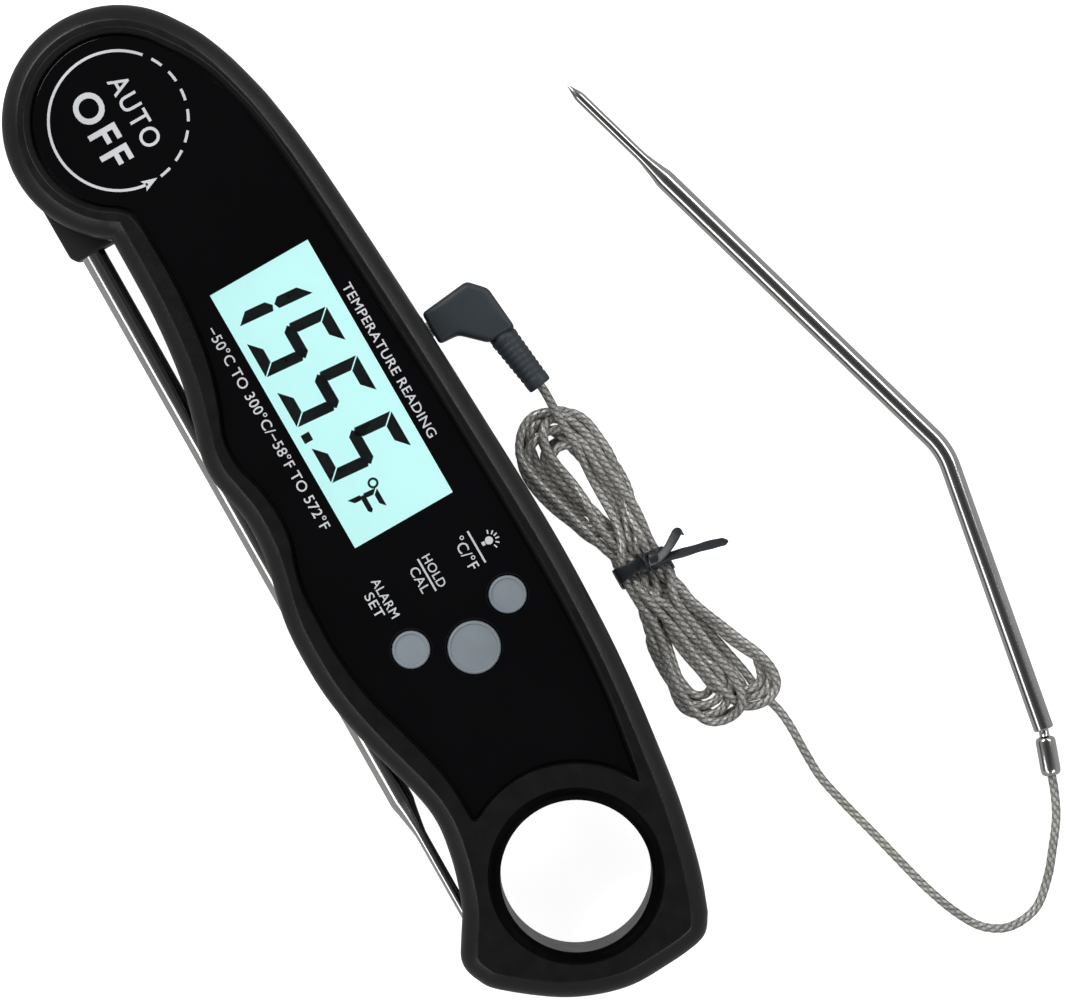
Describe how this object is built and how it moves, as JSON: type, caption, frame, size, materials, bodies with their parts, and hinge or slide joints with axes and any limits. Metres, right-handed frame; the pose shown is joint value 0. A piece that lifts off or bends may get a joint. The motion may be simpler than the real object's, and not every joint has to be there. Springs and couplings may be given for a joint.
{
  "type": "meat thermometer",
  "caption": "Folding digital meat thermometer with a turning probe hub, lit display, hanging ring and a corded steel probe plugged into its side.",
  "frame": {"origin": "on the axis that the folding probe turns about, on the flat back face that the thermometer lies on", "axes": "+X from the round head to the hanging ring, +Y towards the side with the probe jack, +Z out of the display"},
  "size_m": [0.1921, 0.1041, 0.018],
  "materials": {
    "casing": "charcoal ABS, finely spark-textured",
    "panel": "near-black, high gloss, pale printed lettering of plain function words",
    "window": "clear flush lens",
    "display": "lit pale cyan liquid-crystal display with dark seven-segment digits",
    "diffuser": "translucent light guide",
    "button_grey": "mid grey silicone-feel caps, satin",
    "hub_plastic": "black glass-filled nylon, coarse texture",
    "probe_steel": "polished stainless tube",
    "polished_steel": "bright machined or plated steel",
    "contact_brass": "bright spring brass",
    "seal_rubber": "black silicone rubber",
    "board": "green solder mask over fibreglass",
    "component": "black moulded electronic parts",
    "plug_slate": "dark slate moulded PVC, satin",
    "cord_braid": "fine stainless wire braid over the cable",
    "tie_plastic": "dark blue-grey plastic ribbon with a wire core"
  },
  "bodies": {
    "case": {"front_shell": "casing", "back_shell": "casing", "front_panel": "panel", "display_window": "window", "lcd_glass": "display", "lcd_backlight": "diffuser", "lcd_connector": "seal_rubber", "circuit_board": "board", "controller_chip": "component", "buzzer": "component", "jack_socket": "component", "jack_collar": "polished_steel", "reed_switch": "component", "switch_light_unit": "component", "switch_hold_cal": "component", "switch_alarm_set": "component", "battery_cell": "polished_steel", "battery_clip_positive": "contact_brass", "battery_spring_negative": "contact_brass", "pivot_post": "polished_steel", "friction_washer": "polished_steel", "retaining_ring": "polished_steel", "case_screw_1": "polished_steel", "case_screw_2": "polished_steel", "case_screw_3": "polished_steel", "case_screw_4": "polished_steel", "case_screw_5": "polished_steel", "case_screw_6": "polished_steel"},
    "folding_probe": {"probe_hub": "hub_plastic", "probe_tube": "probe_steel", "probe_sensor": "contact_brass", "hub_seal": "seal_rubber", "hub_magnet": "polished_steel"},
    "battery_door": {"battery_cover": "casing"},
    "light_unit_key": {"button_light_unit": "button_grey"},
    "hold_cal_key": {"button_hold_cal": "button_grey"},
    "alarm_set_key": {"button_alarm_set": "button_grey"},
    "wired_lead": {"plug_body": "plug_slate", "plug_relief": "plug_slate", "plug_sleeve": "polished_steel", "plug_insulator": "component", "plug_tip": "polished_steel", "cord_start": "cord_braid", "cord_hank": "cord_braid", "twist_tie": "tie_plastic", "cord_run": "cord_braid", "cable_ferrule": "polished_steel", "wired_probe_tube": "probe_steel", "wired_probe_sensor": "contact_brass"}
  },
  "joints": [
    {"name": "probe_fold", "type": "hinge", "parent": "case", "child": "folding_probe", "pos_m": [0, 0, 0.00645], "axis": [0, 0, -1], "range_deg": [0, 180]},
    {"name": "battery_cover_turn", "type": "hinge", "parent": "case", "child": "battery_door", "pos_m": [0.088, 0.0065, 0.001], "axis": [0, 0, 1], "range_deg": [0, 40]},
    {"name": "light_unit_press", "type": "slide", "parent": "case", "child": "light_unit_key", "axis": [0, 0, -1], "range_m": [0, 0.0006], "stiffness_N_per_m": 600},
    {"name": "hold_cal_press", "type": "slide", "parent": "case", "child": "hold_cal_key", "axis": [0, 0, -1], "range_m": [0, 0.0006], "stiffness_N_per_m": 600},
    {"name": "alarm_set_press", "type": "slide", "parent": "case", "child": "alarm_set_key", "axis": [0, 0, -1], "range_m": [0, 0.0006], "stiffness_N_per_m": 600},
    {"name": "plug_pull", "type": "slide", "parent": "case", "child": "wired_lead", "axis": [0, 1, 0], "range_m": [0, 0.014]}
  ]
}
